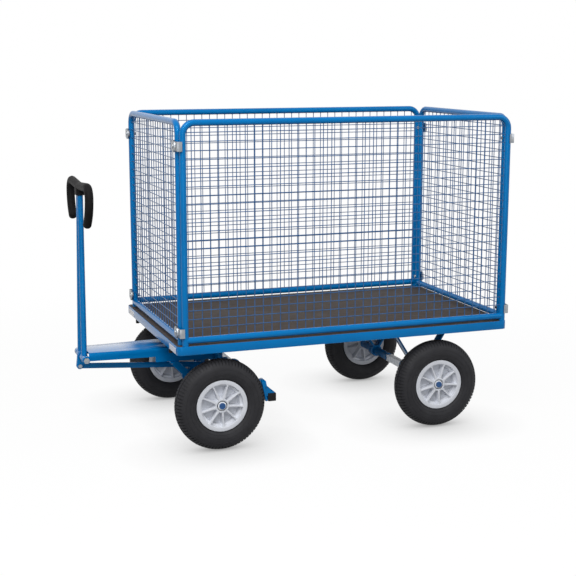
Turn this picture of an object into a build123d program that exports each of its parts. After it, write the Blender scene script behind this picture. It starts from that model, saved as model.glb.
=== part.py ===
from build123d import *
import os
from math import acos, atan2, copysign, cos, degrees, hypot, radians, sin, tan

# Hand cart with plug-in mesh walls, a turntable bogie and a drawbar brake.
# Millimetres, +X towards the drawbar, +Y to the left, +Z up, floor at Z = 0.

# Deck
deck_length = 1560
deck_width = 950
deck_height = 475
rim_height = 38
rim_wall = 3
rim_flange = 40
rim_corner_radius = 22
board_thickness = 15
board_gap = 1
crossbeam_width = 40
crossbeam_wall = 2
middle_beam_ahead = 100
buffer_diameter = 18
buffer_length = 22
buffer_inset = 12
buffer_spacing = 624

# Walls
wall_height = 942
wall_tube = 28
wall_tube_wall = 2.5
wall_bend_radius = 50
bottom_rail_gap = 8
side_post_front_setback = 38
side_post_rear_setback = 20
end_post_setback = 49
front_wall_inset = 28
pin_clearance = 0.5
pin_web_gap = 1
pin_engagement = 40
pin_chamfer = 2
notch_clearance = 1
mesh_wire = 4
mesh_gap = 0.3
side_mesh_edge = 37
end_mesh_edge = 48
mesh_sill = 52
mesh_head = 39
side_mesh_columns = 19
end_mesh_columns = 19
mesh_rows = 12

# Corner clips of the end walls
clip_disc = 50
clip_tab = 40
clip_depth = 9
clip_sheet = 3
clip_leg = 18
clip_side_gap = 1.5
clip_low = 56
clip_high_drop = 109
clip_bolt = 8
clip_bolt_head = 20
clip_bolt_head_height = 4
clip_bolt_dome = 3.2
clip_nut = 13
clip_nut_height = 6.5
bolt_clearance = 0.1

# Wheels and axles
tyre_diameter = 400
tyre_width = 100
tyre_wall = 10
tyre_shoulder_drop = 12
tyre_shoulder_half = 36
tyre_belly_radius = 150
bead_width = 11
rim_lip_radius = 113
rim_seat_radius = 101
rim_width = 76
rim_lip = 4
rim_barrel_wall = 8
rim_disc = 6
rim_rib = 6
rim_rib_count = 9
rim_rib_inset = 3
tyre_fit = 0.3
hub_diameter = 60
hub_mouth_diameter = 46
hub_mouth_depth = 6
hub_back_inset = 2
wheel_track = 854
front_axle_ahead = 585
rear_axle_behind = 444
axle_diameter = 30
axle_square_length = 156
axle_stub_diameter = 25
axle_sleeve_diameter = 40
bearing_diameter = 35
bearing_width = 12
bearing_proud = 0.5
running_clearance = 0.05
washer_diameter = 37
washer_thickness = 3
cap_wall = 1
cap_length = 7.5
cap_end = 2.5

# Axle brackets
bracket_bar = 8
bracket_foot = 40
rear_bracket_width = 50
rear_bracket_spacing = 500
rear_bracket_spread = 150
front_bracket_leg = 30
front_bracket_width = 20
front_bracket_spacing = 200
front_bracket_spread = 114

# Turntable and bogie
mount_plate_size = 280
mount_plate_thickness = 6
turntable_beam_spread = 100
race_diameter = 240
race_bore = 186
ball_diameter = 14
ball_pitch_diameter = 213
ball_count = 24
ball_clearance = 0.3
race_gap = 3
race_stack = 43
kingpin_diameter = 20
kingpin_head = 32
kingpin_head_height = 12
kingpin_nut_height = 16
kingpin_nut_gap = 0.5
kingpin_tail = 4
bogie_plate_thickness = 8
bogie_plate_width = 320
bogie_plate_front = 110
bogie_plate_rear = 144

# Drawbar
channel_depth = 38
channel_sheet = 4
channel_front_width = 144
channel_rear_width = 220
channel_rear = 110
skirt_ahead = 197
skirt_depth = 25
pivot_ahead = 1094
pivot_drop = 27
barrel_diameter = 34
barrel_outer_length = 38
barrel_middle_length = 116
barrel_gap = 1
pivot_bolt = 16
pivot_bolt_head = 24
pivot_bolt_head_height = 10
fork_tube = 25
fork_tube_wall = 2.5
fork_spread = 92
fork_top_spread = 25.4
drawbar_lean = 0.8
handle_height = 757
handle_bar_diameter = 24
handle_bar_wall = 2.5
grip_wall = 6.5
grip_fit = 0.1
grip_end = 5
collar_drop = 38
handle_hub_radius = 150
horn_radius = 46
horn_reach = 219
horn_drop = 35
horn_tail_radius = 153
horn_tail_turn = 50.4
lug_thickness = 6
lug_ring = 5
lug_end_radius = 14
lug_ahead = 13
lug_below = 45

# Brake
rod_thickness = 8
rod_height = 24
rod_side_gap = 0.5
rod_bolt = 10
rod_bolt_head = 17
rod_bolt_head_height = 6.5
rod_eye_radius = 13
slot_play = 1.6
slot_margin = 8
drawbar_travel = 90
brake_ratio = 0.12
brake_pivot_ahead = 501
brake_pivot_drop = 18
brake_bar = 36
brake_bar_wall = 3
brake_bar_length = 864
brake_bar_ahead = 350
brake_bar_height = 210
brake_cap = 5
arm_thickness = 8
arm_width = 24
arm_elbow_height = 285
arm_spacing = 244
tab_thickness = 6
tab_gap = 0.4
tab_half = 12
hanger_bolt = 12
hanger_bolt_head = 19
hanger_bolt_head_height = 8
lever_pin_ahead = 372
lever_pin_height = 258
lever_pin_end = 3
lever_head_radius = 12
lever_base = 30
shoe_thickness = 8
shoe_width = 60
shoe_length = 90
shoe_head = 18
shoe_head_height = 28
shoe_inset = 3
shoe_angle = 11
shoe_gap = 0.4
gusset_thickness = 6
gusset_spacing = 44
gusset_foot = 26
gusset_rise = 45
gusset_low = 12

# Places worked out from the sizes above
tube_radius = wall_tube / 2
pin_radius = tube_radius - wall_tube_wall - pin_clearance
wall_inset = rim_wall + pin_web_gap + pin_radius
side_wall_y = deck_width / 2 - wall_inset
front_wall_x = deck_length / 2 - front_wall_inset
rear_wall_x = wall_inset - deck_length / 2
rear_reach = tube_radius - rear_wall_x + clip_depth + clip_bolt_head_height
front_reach = pivot_ahead + lug_ahead + lug_end_radius
deck_x = (rear_reach - front_reach) / 2
rim_bottom = deck_height - rim_height
flange_top = rim_bottom + rim_wall
board_bottom = deck_height - board_thickness
kingpin_x = deck_x + front_axle_ahead
front_axle_x = kingpin_x
rear_axle_x = deck_x - rear_axle_behind
axle_z = tyre_diameter / 2
side_post_front = deck_length / 2 - side_post_front_setback
side_post_rear = side_post_rear_setback - deck_length / 2
side_wall_middle = (side_post_front + side_post_rear) / 2
side_wall_half = (side_post_front - side_post_rear) / 2
end_post_y = deck_width / 2 - end_post_setback
wall_top = deck_height + wall_height - tube_radius
bottom_rail_z = deck_height + bottom_rail_gap + tube_radius
clip_heights = (deck_height + clip_low, deck_height + wall_height - clip_high_drop)
side_pins = [(x, s * side_wall_y) for x in (side_post_front, side_post_rear) for s in (1, -1)]
front_pins = [(front_wall_x, s * end_post_y) for s in (1, -1)]
rear_pins = [(rear_wall_x, s * end_post_y) for s in (1, -1)]

mount_plate_bottom = flange_top - mount_plate_thickness
bogie_top = mount_plate_bottom - race_stack
bogie_bottom = bogie_top - bogie_plate_thickness
channel_bottom = bogie_bottom - channel_depth
skirt_bottom = channel_bottom - skirt_depth
ball_z = bogie_top + race_stack / 2
race_height = (race_stack - race_gap) / 2

pivot_x = deck_x + pivot_ahead
pivot_z = bogie_bottom - pivot_drop
channel_front_x = pivot_x - barrel_diameter / 2
barrel_outer_mid = barrel_middle_length / 2 + barrel_gap + barrel_outer_length / 2
barrel_half = barrel_outer_mid + barrel_outer_length / 2
rod_bolt_place = (pivot_x + lug_ahead, pivot_z - lug_below)
brake_pivot_place = (deck_x + brake_pivot_ahead, bogie_bottom - brake_pivot_drop)
lever_pin_place = (deck_x + lever_pin_ahead, lever_pin_height)
brake_bar_x = deck_x + brake_bar_ahead
wheel_y = wheel_track / 2

deck_floor = Plane((deck_x, 0, 0))
kingpin_floor = Plane((kingpin_x, 0, 0))
drawbar_plane = Plane(
    origin=(pivot_x, 0, pivot_z),
    x_dir=(0, 1, 0),
    z_dir=(cos(radians(drawbar_lean)), 0, sin(radians(drawbar_lean))),
)
drawbar_up = (-sin(radians(drawbar_lean)), 0, cos(radians(drawbar_lean)))

os.makedirs("parts", exist_ok=True)


def save(builder, node):
    builder.part.label = node
    export_step(builder.part, f"parts/{node}.step")


def side_plane(y):
    # Upright plane along the cart: sketch x is +X, sketch y is +Z.
    return Plane(origin=(0, y, 0), x_dir=(1, 0, 0), z_dir=(0, -1, 0))


def along_y(x, y, z):
    # Place for a round piece whose axis lies across the cart.
    return Location((x, y, z), (90, 0, 0))


def along_x(x, y, z):
    # Place for a round piece whose axis lies along the cart.
    return Location((x, y, z), (0, 90, 0))


def turned(place, pivot, angle):
    # An (x, z) place after a turn about +Y.
    a = radians(angle)
    x = place[0] - pivot[0]
    z = place[1] - pivot[1]
    return (pivot[0] + x * cos(a) + z * sin(a), pivot[1] - x * sin(a) + z * cos(a))


def channel_half_width(x):
    run = channel_front_x - (kingpin_x - channel_rear)
    share = (channel_front_x - x) / run
    return (channel_front_width + share * (channel_rear_width - channel_front_width)) / 2


# Deck: edge rail, board, beams, wall pins and buffers
with BuildPart() as deck_frame:
    with BuildSketch(deck_floor.offset(rim_bottom)):
        RectangleRounded(deck_length, deck_width, rim_corner_radius)
    extrude(amount=rim_height)
    with BuildSketch(deck_floor.offset(flange_top)):
        RectangleRounded(deck_length - 2 * rim_wall, deck_width - 2 * rim_wall, rim_corner_radius - rim_wall)
    extrude(amount=rim_height, mode=Mode.SUBTRACT)
    with BuildSketch(deck_floor.offset(rim_bottom)):
        Rectangle(deck_length - 2 * rim_flange, deck_width - 2 * rim_flange)
    extrude(amount=rim_wall, mode=Mode.SUBTRACT)
save(deck_frame, "deck_frame")

board_inset = rim_wall + board_gap
notch_radius = pin_radius + notch_clearance
with BuildPart() as deck_board:
    with BuildSketch(deck_floor.offset(board_bottom)):
        RectangleRounded(
            deck_length - 2 * board_inset,
            deck_width - 2 * board_inset,
            rim_corner_radius - board_inset,
        )
        with Locations(*side_pins, *front_pins, *rear_pins):
            Circle(notch_radius, mode=Mode.SUBTRACT)
        for x, y in side_pins:
            with Locations((x, y + copysign(wall_inset / 2, y))):
                Rectangle(2 * notch_radius, wall_inset, mode=Mode.SUBTRACT)
        for x, y in rear_pins:
            with Locations((x - wall_inset / 2, y)):
                Rectangle(wall_inset, 2 * notch_radius, mode=Mode.SUBTRACT)
    extrude(amount=board_thickness)
save(deck_board, "deck_board")

beam_height = board_bottom - flange_top
beam_stations = (
    kingpin_x + turntable_beam_spread,
    kingpin_x - turntable_beam_spread,
    deck_x + middle_beam_ahead,
    rear_axle_x + rear_bracket_spread,
    rear_axle_x - rear_bracket_spread,
)
with BuildPart() as deck_crossbeams:
    with Locations(*[(x, 0, flange_top + beam_height / 2) for x in beam_stations]):
        Box(crossbeam_width, deck_width - 2 * rim_wall, beam_height)
        Box(
            crossbeam_width - 2 * crossbeam_wall,
            deck_width - 2 * rim_wall,
            beam_height - 2 * crossbeam_wall,
            mode=Mode.SUBTRACT,
        )
save(deck_crossbeams, "deck_crossbeams")

with BuildPart() as wall_pins:
    with BuildSketch(deck_floor.offset(flange_top)):
        with Locations(*side_pins, *front_pins, *rear_pins):
            Circle(pin_radius)
    extrude(amount=deck_height + pin_engagement - flange_top)
    chamfer(wall_pins.edges().group_by(Axis.Z)[-1], pin_chamfer)
save(wall_pins, "wall_pins")

with BuildPart() as rim_buffers:
    with BuildSketch(deck_floor.offset(rim_bottom - buffer_length)):
        with Locations((deck_length / 2 - buffer_inset, 0)):
            with GridLocations(1, buffer_spacing, 1, 2):
                Circle(buffer_diameter / 2)
    extrude(amount=buffer_length)
    chamfer(rim_buffers.edges().group_by(Axis.Z)[0], pin_chamfer)
save(rim_buffers, "rim_buffers")


# Walls: a bent tube with a bottom rail, and a mesh inside it
def wall_plane(centre, across):
    return Plane(origin=(centre[0], centre[1], 0), x_dir=across, z_dir=Vector(*across).cross(Vector(0, 0, 1)))


def wall_frame(plane, post, bolt_heights):
    with BuildPart() as frame:
        with BuildLine(plane) as bend:
            FilletPolyline(
                (-post, deck_height),
                (-post, wall_top),
                (post, wall_top),
                (post, deck_height),
                radius=wall_bend_radius,
            )
        rail = plane.location * Location((0, bottom_rail_z, 0), (0, 90, 0))
        foot = Plane(origin=bend.line @ 0, z_dir=bend.line % 0)
        with BuildSketch(foot):
            Circle(tube_radius)
        sweep(path=bend.line)
        with Locations(rail):
            Cylinder(tube_radius, 2 * post)
            Cylinder(tube_radius - wall_tube_wall, 2 * (post - tube_radius), mode=Mode.SUBTRACT)
        with BuildSketch(foot):
            Circle(tube_radius - wall_tube_wall)
        sweep(path=bend.line, mode=Mode.SUBTRACT)
        for z in bolt_heights:
            for s in (1, -1):
                with Locations(plane.location * Location((s * post, z, 0))):
                    Cylinder(clip_bolt / 2 + bolt_clearance, 2 * wall_tube, mode=Mode.SUBTRACT)
    return frame


def wall_mesh(plane, post, edge, columns):
    low = bottom_rail_z + tube_radius + mesh_gap
    high = wall_top - tube_radius - mesh_gap
    wide = 2 * (post - tube_radius - mesh_gap)
    corner = wall_bend_radius - tube_radius - mesh_gap
    first_row = bottom_rail_z + mesh_sill
    last_row = wall_top - mesh_head
    column_pitch = 2 * (post - edge) / (columns - 1)
    row_pitch = (last_row - first_row) / (mesh_rows - 1)
    with BuildPart() as mesh:
        with BuildSketch(plane):
            with Locations((0, (low + high) / 2)):
                with GridLocations(column_pitch, 1, columns, 1):
                    Rectangle(mesh_wire, high - low)
            with Locations((0, (first_row + last_row) / 2)):
                with GridLocations(1, row_pitch, 1, mesh_rows):
                    Rectangle(wide, mesh_wire)
            with Locations((0, (low + high - corner) / 2)):
                RectangleRounded(wide, high - low + corner, corner, mode=Mode.INTERSECT)
        extrude(amount=mesh_wire / 2, both=True)
    return mesh


for name, s in (("left", 1), ("right", -1)):
    plane = wall_plane((deck_x + side_wall_middle, s * side_wall_y), (1, 0, 0))
    save(wall_frame(plane, side_wall_half, ()), f"{name}_wall_frame")
    save(wall_mesh(plane, side_wall_half, side_mesh_edge, side_mesh_columns), f"{name}_wall_mesh")

for name, x in (("front", front_wall_x), ("rear", rear_wall_x)):
    plane = wall_plane((deck_x + x, 0), (0, 1, 0))
    save(wall_frame(plane, end_post_y, clip_heights), f"{name}_wall_frame")
    save(wall_mesh(plane, end_post_y, end_mesh_edge, end_mesh_columns), f"{name}_wall_mesh")


# Corner clips: a pressed cap on each end post, with a strap that hooks round the side post
def corner_clips(x):
    s = copysign(1, x)
    seat = deck_x + x + s * tube_radius
    face = Plane(origin=(seat, 0, 0), x_dir=(0, s, 0), z_dir=(s, 0, 0))
    outer_y = side_wall_y + tube_radius + clip_side_gap + clip_sheet
    strap = outer_y - end_post_y
    with BuildPart() as clips:
        for z in clip_heights:
            for side in (1, -1):
                with BuildSketch(face):
                    with Locations((s * side * end_post_y, z)):
                        Circle(clip_disc / 2)
                extrude(amount=clip_depth)
                with BuildSketch(face):
                    with Locations((s * side * (end_post_y + strap / 2), z)):
                        Rectangle(strap, clip_tab)
                extrude(amount=clip_sheet)
                with BuildSketch(face):
                    with Locations((s * side * end_post_y, z)):
                        Circle(clip_disc / 2 - clip_sheet)
                extrude(amount=clip_depth - clip_sheet, mode=Mode.SUBTRACT)
                with Locations((seat - s * clip_leg / 2, side * (outer_y - clip_sheet / 2), z)):
                    Box(clip_leg, clip_sheet, clip_tab)
                with Locations(along_x(seat, side * end_post_y, z)):
                    Cylinder(clip_bolt / 2 + bolt_clearance, 2 * (clip_depth + wall_tube), mode=Mode.SUBTRACT)
    return clips


def clip_bolts(x):
    s = copysign(1, x)
    seat = deck_x + x + s * (tube_radius + clip_depth)
    back = deck_x + x - s * tube_radius
    head_plane = Plane(origin=(seat, 0, 0), x_dir=(0, s, 0), z_dir=(s, 0, 0))
    nut_plane = Plane(origin=(back, 0, 0), x_dir=(0, s, 0), z_dir=(s, 0, 0))
    places = [(s * side * end_post_y, z) for z in clip_heights for side in (1, -1)]
    with BuildPart() as bolts:
        with BuildSketch(nut_plane.offset(-clip_nut_height)):
            with Locations(*places):
                Circle(clip_bolt / 2)
        extrude(amount=wall_tube + clip_depth + clip_nut_height)
        with BuildSketch(head_plane):
            with Locations(*places):
                Circle(clip_bolt_head / 2)
        extrude(amount=clip_bolt_head_height)
        rims = bolts.faces().filter_by(GeomType.PLANE).sort_by(Axis.X, reverse=s < 0)[-len(places):]
        fillet(rims.edges(), clip_bolt_dome)
    with BuildPart() as nuts:
        with BuildSketch(nut_plane):
            with Locations(*places):
                RegularPolygon(clip_nut / 2, 6, major_radius=False)
                Circle(clip_bolt / 2 + running_clearance, mode=Mode.SUBTRACT)
        extrude(amount=-clip_nut_height)
    with BuildPart() as both:
        add(bolts.part)
        add(nuts.part)
    return both


for name, x in (("front", front_wall_x), ("rear", rear_wall_x)):
    save(corner_clips(x), f"{name}_corner_clips")
    save(clip_bolts(x), f"{name}_clip_bolts")


# Wheels: a ribbed plastic rim and an air tyre, section drawn as radius and axle offset
rim_half = rim_width / 2
bead_half = rim_half - rim_lip - tyre_fit
lip_top = rim_lip_radius + tyre_fit
tyre_half = tyre_width / 2
tyre_radius = tyre_diameter / 2
shoulder_radius = tyre_radius - tyre_shoulder_drop
bearing_radius = bearing_diameter / 2
hub_bore = bearing_radius + running_clearance
mouth_floor = rim_half - hub_mouth_depth
bearing_out = mouth_floor + bearing_proud


def wheel_section(x, s):
    return Plane(origin=(x, s * wheel_y, axle_z), x_dir=(1, 0, 0), z_dir=(0, 0, s))


def wheel_rim(x, s):
    axis = Axis((x, 0, axle_z), (0, 1, 0))
    with BuildPart() as rim:
        with BuildSketch(wheel_section(x, s)):
            with Locations((rim_seat_radius - rim_barrel_wall / 2, 0)):
                Rectangle(rim_barrel_wall, rim_width)
            lip_mid = (rim_lip_radius + rim_seat_radius) / 2
            with Locations((lip_mid, rim_half - rim_lip / 2), (lip_mid, rim_lip / 2 - rim_half)):
                Rectangle(rim_lip_radius - rim_seat_radius, rim_lip)
            disc_span = rim_seat_radius - hub_bore
            with Locations((hub_bore + disc_span / 2, 0)):
                Rectangle(disc_span, rim_disc)
            hub_wall = hub_diameter / 2 - hub_bore
            with Locations((hub_bore + hub_wall / 2, hub_back_inset / 2)):
                Rectangle(hub_wall, rim_width - hub_back_inset)
            mouth_wall = hub_mouth_diameter / 2 - hub_bore
            with Locations((hub_bore + mouth_wall / 2, rim_half - hub_mouth_depth / 2)):
                Rectangle(mouth_wall, hub_mouth_depth, mode=Mode.SUBTRACT)
        revolve(axis=axis)
        rib_inner = hub_diameter / 2 - rim_rib
        rib_span = rim_seat_radius - rim_barrel_wall / 2 - rib_inner
        spin = Plane(origin=(x, s * wheel_y, axle_z), x_dir=(-1, 0, 0), z_dir=(0, s, 0))
        with Locations(spin):
            with PolarLocations(rib_inner + rib_span / 2, rim_rib_count):
                Box(rib_span, rim_rib, rim_width - 2 * rim_rib_inset)
    return rim


def wheel_tyre(x, s):
    bead_inner = bead_half - bead_width
    cavity_half = tyre_half - tyre_wall
    with BuildPart() as tyre:
        with BuildSketch(wheel_section(x, s)):
            with BuildLine():
                ThreePointArc(
                    (shoulder_radius, tyre_shoulder_half),
                    (tyre_radius, 0),
                    (shoulder_radius, -tyre_shoulder_half),
                )
                ThreePointArc(
                    (tyre_belly_radius, cavity_half),
                    (tyre_radius - tyre_wall, 0),
                    (tyre_belly_radius, -cavity_half),
                )
                for e in (1, -1):
                    belly = (tyre_belly_radius, e * tyre_half)
                    TangentArc(belly, (shoulder_radius, e * tyre_shoulder_half), tangent=(1, 0))
                    TangentArc(belly, (lip_top, e * bead_half), tangent=(-1, 0))
                    Polyline(
                        (lip_top, e * bead_half),
                        (rim_seat_radius + tyre_fit, e * bead_half),
                        (rim_seat_radius + tyre_fit, e * bead_inner),
                        (lip_top, e * bead_inner),
                    )
                    TangentArc(
                        (tyre_belly_radius, e * cavity_half),
                        (lip_top, e * bead_inner),
                        tangent=(-1, 0),
                    )
            make_face()
        revolve(axis=Axis((x, 0, axle_z), (0, 1, 0)))
    return tyre


for end, x in (("front", front_axle_x), ("rear", rear_axle_x)):
    for name, s in (("left", 1), ("right", -1)):
        save(wheel_rim(x, s), f"{end}_{name}_rim")
        save(wheel_tyre(x, s), f"{end}_{name}_tyre")


# Axles: square in the middle, round in the sleeves, a stub in each hub
stub_start = wheel_y - rim_half
washer_start = wheel_y + bearing_out
cap_start = washer_start + washer_thickness
stub_end = cap_start + cap_length - cap_end
sleeve_length = stub_start - axle_square_length / 2
stub_radius = axle_stub_diameter / 2


def axle_bar(x):
    with BuildPart() as bar:
        with Locations((x, 0, axle_z)):
            Box(axle_diameter, axle_square_length, axle_diameter)
        with Locations(along_y(x, 0, axle_z)):
            Cylinder(axle_diameter / 2, 2 * stub_start)
            Cylinder(stub_radius, 2 * stub_end)
    return bar


def axle_rings(x, outer, inner, starts, length):
    # Rings on both ends of an axle, each running outwards from its start.
    with BuildPart() as rings:
        for start in starts:
            for s in (1, -1):
                with Locations(along_y(x, s * (start + length / 2), axle_z)):
                    Cylinder(outer, length)
                    Cylinder(inner, length, mode=Mode.SUBTRACT)
    return rings


def axle_caps(x):
    outer = stub_radius + running_clearance + cap_wall
    with BuildPart() as caps:
        for s in (1, -1):
            with Locations(along_y(x, s * (cap_start + cap_length / 2), axle_z)):
                Cylinder(outer, cap_length)
        rims = caps.edges().group_by(Axis.Y)
        fillet(rims[0] + rims[-1], cap_wall)
        for s in (1, -1):
            depth = cap_length - cap_end + running_clearance
            with Locations(along_y(x, s * (cap_start + depth / 2), axle_z)):
                Cylinder(stub_radius + running_clearance, depth, mode=Mode.SUBTRACT)
    return caps


inner_bearing = stub_start
outer_bearing = washer_start - bearing_width
for end, x in (("front", front_axle_x), ("rear", rear_axle_x)):
    bore = stub_radius + running_clearance
    sleeve_bore = axle_diameter / 2 + running_clearance
    save(axle_bar(x), f"{end}_axle_bar")
    sleeves = axle_rings(x, axle_sleeve_diameter / 2, sleeve_bore, [axle_square_length / 2], sleeve_length)
    save(sleeves, f"{end}_axle_sleeves")
    bearings = axle_rings(x, bearing_radius, bore, [inner_bearing, outer_bearing], bearing_width)
    save(bearings, f"{end}_wheel_bearings")
    save(axle_rings(x, washer_diameter / 2, bore, [washer_start], washer_thickness), f"{end}_axle_washers")
    save(axle_caps(x), f"{end}_axle_caps")


# Axle brackets: two legs in a V on pads, welded round the sleeve
def axle_brackets(x, top, spread, width, spacing, leg):
    ring = axle_sleeve_diameter / 2
    rise = top - bracket_bar / 2 - axle_z
    leg_length = hypot(spread, rise)
    with BuildPart() as brackets:
        for s in (1, -1):
            with BuildSketch(side_plane(s * spacing / 2)):
                with Locations((x, axle_z)):
                    Circle(ring + bracket_bar)
                for e in (1, -1):
                    lean = degrees(atan2(rise, e * spread))
                    with Locations(Location((x + e * spread / 2, axle_z + rise / 2), lean)):
                        Rectangle(leg_length, leg)
                    with Locations((x + e * spread, top - bracket_bar / 2)):
                        Rectangle(bracket_foot, bracket_bar)
                with Locations((x, top + leg / 2)):
                    Rectangle(2 * spread + 2 * bracket_foot, leg, mode=Mode.SUBTRACT)
                with Locations((x, axle_z)):
                    Circle(ring, mode=Mode.SUBTRACT)
            extrude(amount=width / 2, both=True)
    return brackets


rear_brackets = axle_brackets(
    rear_axle_x, flange_top, rear_bracket_spread, rear_bracket_width, rear_bracket_spacing, bracket_bar
)
save(rear_brackets, "rear_axle_brackets")
front_brackets = axle_brackets(
    front_axle_x,
    skirt_bottom,
    front_bracket_spread,
    front_bracket_width,
    front_bracket_spacing,
    front_bracket_leg,
)
save(front_brackets, "front_axle_brackets")

# Turntable: plate under the beams, two races with balls, and the kingpin
kingpin_bore = kingpin_diameter / 2 + running_clearance
with BuildPart() as turntable_mount_plate:
    with BuildSketch(kingpin_floor.offset(mount_plate_bottom)):
        Rectangle(mount_plate_size, mount_plate_size)
        Circle(kingpin_bore, mode=Mode.SUBTRACT)
    extrude(amount=mount_plate_thickness)
save(turntable_mount_plate, "turntable_mount_plate")


def turntable_race(bottom):
    with BuildPart() as race:
        with BuildSketch(kingpin_floor.offset(bottom)):
            Circle(race_diameter / 2)
            Circle(race_bore / 2, mode=Mode.SUBTRACT)
        extrude(amount=race_height)
        with Locations((kingpin_x, 0, ball_z)):
            Torus(ball_pitch_diameter / 2, ball_diameter / 2 + ball_clearance, mode=Mode.SUBTRACT)
    return race


save(turntable_race(mount_plate_bottom - race_height), "turntable_upper_race")
save(turntable_race(bogie_top), "turntable_lower_race")

with BuildPart() as turntable_balls:
    with Locations((kingpin_x, 0, ball_z)):
        with PolarLocations(ball_pitch_diameter / 2, ball_count):
            Sphere(ball_diameter / 2)
save(turntable_balls, "turntable_balls")

web_bottom = bogie_bottom - channel_sheet
nut_top = web_bottom - kingpin_nut_gap
kingpin_bottom = nut_top - kingpin_nut_height - kingpin_tail
with BuildPart() as kingpin:
    with BuildSketch(kingpin_floor.offset(kingpin_bottom)):
        Circle(kingpin_diameter / 2)
    extrude(amount=flange_top - kingpin_bottom)
    with BuildSketch(kingpin_floor.offset(flange_top)):
        RegularPolygon(kingpin_head / 2, 6, major_radius=False)
    extrude(amount=kingpin_head_height)
    with BuildSketch(kingpin_floor.offset(nut_top - kingpin_nut_height)):
        RegularPolygon(kingpin_head / 2, 6, major_radius=False)
        Circle(kingpin_bore, mode=Mode.SUBTRACT)
    extrude(amount=kingpin_nut_height)
save(kingpin, "kingpin")

# Bogie: plate with the brake tabs, and the tapered channel with its hinge barrels
tab_y = arm_spacing / 2 + arm_thickness / 2 + tab_gap + tab_thickness / 2
with BuildPart() as bogie_plate:
    with BuildSketch(kingpin_floor.offset(bogie_bottom)):
        with Locations(((bogie_plate_front - bogie_plate_rear) / 2, 0)):
            Rectangle(bogie_plate_front + bogie_plate_rear, bogie_plate_width)
        Circle(kingpin_bore, mode=Mode.SUBTRACT)
    extrude(amount=bogie_plate_thickness)
    for s in (1, -1):
        with BuildSketch(side_plane(s * tab_y)):
            with Locations(brake_pivot_place):
                Circle(tab_half)
            with Locations((brake_pivot_place[0], (brake_pivot_place[1] + bogie_bottom) / 2)):
                Rectangle(2 * tab_half, bogie_bottom - brake_pivot_place[1])
            with Locations(brake_pivot_place):
                Circle(hanger_bolt / 2 + running_clearance, mode=Mode.SUBTRACT)
        extrude(amount=tab_thickness / 2, both=True)
save(bogie_plate, "bogie_plate")

channel_rear_x = kingpin_x - channel_rear
skirt_front_x = kingpin_x + skirt_ahead


def channel_outline(inset):
    rear = channel_half_width(channel_rear_x) - inset
    front = channel_half_width(channel_front_x) - inset
    return [(channel_rear_x, -rear), (channel_front_x, -front), (channel_front_x, front), (channel_rear_x, rear)]


with BuildPart() as drawbar_channel:
    with BuildSketch(Plane.XY.offset(channel_bottom)):
        Polygon(*channel_outline(0), align=None)
    extrude(amount=channel_depth)
    with BuildSketch(Plane.XY.offset(channel_bottom)):
        Polygon(*channel_outline(channel_sheet), align=None)
    extrude(amount=channel_depth - channel_sheet, mode=Mode.SUBTRACT)
    with BuildSketch(Plane.XY.offset(skirt_bottom)):
        Polygon(*channel_outline(0), align=None)
        Polygon(*channel_outline(channel_sheet), align=None, mode=Mode.SUBTRACT)
        with Locations(((skirt_front_x + channel_front_x) / 2, 0)):
            Rectangle(channel_front_x - skirt_front_x, channel_rear_width, mode=Mode.SUBTRACT)
    extrude(amount=skirt_depth)
    cheek_y = channel_half_width(channel_front_x) - channel_sheet / 2
    cheek_start = channel_front_x - barrel_diameter / 2
    for s in (1, -1):
        with Locations(((cheek_start + pivot_x) / 2, s * cheek_y, pivot_z)):
            Box(pivot_x - cheek_start, channel_sheet, 2 * (pivot_z - channel_bottom))
        with Locations(along_y(pivot_x, s * barrel_outer_mid, pivot_z)):
            Cylinder(barrel_diameter / 2, barrel_outer_length)
    with Locations(along_y(pivot_x, 0, pivot_z)):
        Cylinder(pivot_bolt / 2 + running_clearance, 2 * barrel_half, mode=Mode.SUBTRACT)
    with Locations((kingpin_x, 0, bogie_bottom)):
        Cylinder(kingpin_bore, channel_depth, mode=Mode.SUBTRACT)
save(drawbar_channel, "drawbar_channel")

# Drawbar: cross tube on the pivot bolt, fork of two tubes, lugs and the horn handle
with BuildPart() as drawbar_cross_tube:
    with Locations(along_y(pivot_x, 0, pivot_z)):
        Cylinder(barrel_diameter / 2, barrel_middle_length)
        Cylinder(pivot_bolt / 2 + running_clearance, barrel_middle_length, mode=Mode.SUBTRACT)
save(drawbar_cross_tube, "drawbar_cross_tube")

fork_top = handle_height - handle_bar_diameter / 2
fork_drift = (fork_spread - fork_top_spread) / 2
fork_length = hypot(fork_top, fork_drift)


def fork_leg(s):
    # Plane across one fork tube, at its foot on the pivot axis.
    up = drawbar_plane.from_local_coords(Vector(-s * fork_drift, fork_top, 0)) - drawbar_plane.origin
    return Plane(origin=drawbar_plane.from_local_coords(Vector(s * fork_spread / 2, 0, 0)), z_dir=up)


with BuildPart() as drawbar_fork:
    for s in (1, -1):
        with BuildSketch(fork_leg(s)):
            Circle(fork_tube / 2)
            Circle(fork_tube / 2 - fork_tube_wall, mode=Mode.SUBTRACT)
        extrude(amount=fork_length)
    with Locations(along_y(pivot_x, 0, pivot_z)):
        Cylinder(barrel_diameter / 2, 2 * fork_spread, mode=Mode.SUBTRACT)
save(drawbar_fork, "drawbar_fork")

lug_inner = rod_thickness / 2 + rod_side_gap
with BuildPart() as drawbar_lugs:
    for s in (1, -1):
        with BuildSketch(side_plane(s * (lug_inner + lug_thickness / 2))):
            with Locations((pivot_x, pivot_z)):
                Circle(barrel_diameter / 2 + lug_ring)
            with Locations(rod_bolt_place):
                Circle(lug_end_radius)
            make_hull()
            with Locations((pivot_x, pivot_z)):
                Circle(barrel_diameter / 2, mode=Mode.SUBTRACT)
            with Locations(rod_bolt_place):
                Circle(rod_bolt / 2 + running_clearance, mode=Mode.SUBTRACT)
        extrude(amount=lug_thickness / 2, both=True)
save(drawbar_lugs, "drawbar_lugs")


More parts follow.
